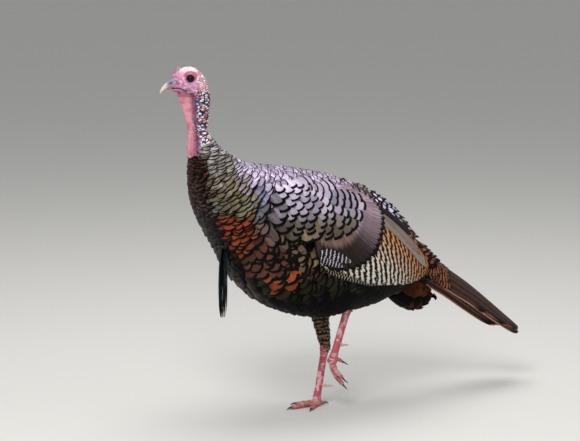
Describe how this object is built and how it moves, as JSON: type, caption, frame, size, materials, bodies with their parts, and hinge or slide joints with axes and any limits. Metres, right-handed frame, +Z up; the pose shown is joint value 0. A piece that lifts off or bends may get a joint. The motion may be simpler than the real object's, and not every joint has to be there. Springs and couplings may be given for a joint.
{
  "type": "wild turkey",
  "caption": "Life-size still model of an adult male wild turkey walking: one foot stands, the other is lifted; folded wings and tail.",
  "frame": {"origin": "middle of the standing (right) foot's sole, on the ground", "axes": "+Z up; the bird heads towards -X; its left side is -Y"},
  "size_m": [0.9998, 0.3092, 0.8492],
  "materials": {
    "plumage_back": "bronze and lilac body feathers with black crescent edges, soft sheen",
    "plumage_breast": "coppery iridescent breast feathers with black edges",
    "plumage_belly": "blackish brown belly feathers with olive-gold bands",
    "wing": "lilac grey coverts, barred cream and brown flight feathers",
    "tail": "chestnut tail feathers, finely barred, dark band and buff tips",
    "skin": "bare pink, white and blue-grey head skin",
    "neck_skin": "caruncled neck skin in white, coral, pink and steel blue",
    "bill": "cream horn with mauve base",
    "eye": "dark brown wet eye",
    "beard": "coarse black bristles",
    "thigh": "short mottled grey-brown feathers",
    "leg": "pink-red scaled legs and toes",
    "horn": "dark horn claws and pale spurs"
  },
  "bodies": {
    "root": {"neck": "neck_skin", "neck_base": "plumage_back", "breast": "plumage_breast", "back": "plumage_back", "belly": "plumage_belly", "rump": "plumage_back", "tail_coverts_upper": "tail", "head": "skin", "bill_upper": "bill", "bill_lower": "bill", "snood": "skin", "eye_left": "eye", "eye_right": "eye", "dewlap": "skin", "tail": "tail", "tail_coverts_lower": "tail", "beard": "beard", "wing_coverts_left": "wing", "wing_secondaries_left": "wing", "wing_primaries_left": "wing", "wing_coverts_right": "wing", "wing_secondaries_right": "wing", "wing_primaries_right": "wing", "thigh_left": "thigh", "tarsus_left": "leg", "spur_left": "horn", "toe_inner_left": "leg", "claw_inner_left": "horn", "toe_middle_left": "leg", "claw_middle_left": "horn", "toe_outer_left": "leg", "claw_outer_left": "horn", "toe_hallux_left": "leg", "claw_hallux_left": "horn", "thigh_right": "thigh", "tarsus_right": "leg", "spur_right": "horn", "toe_inner_right": "leg", "claw_inner_right": "horn", "toe_middle_right": "leg", "claw_middle_right": "horn", "toe_outer_right": "leg", "claw_outer_right": "horn", "toe_hallux_right": "leg", "claw_hallux_right": "horn"}
  },
  "joints": []
}
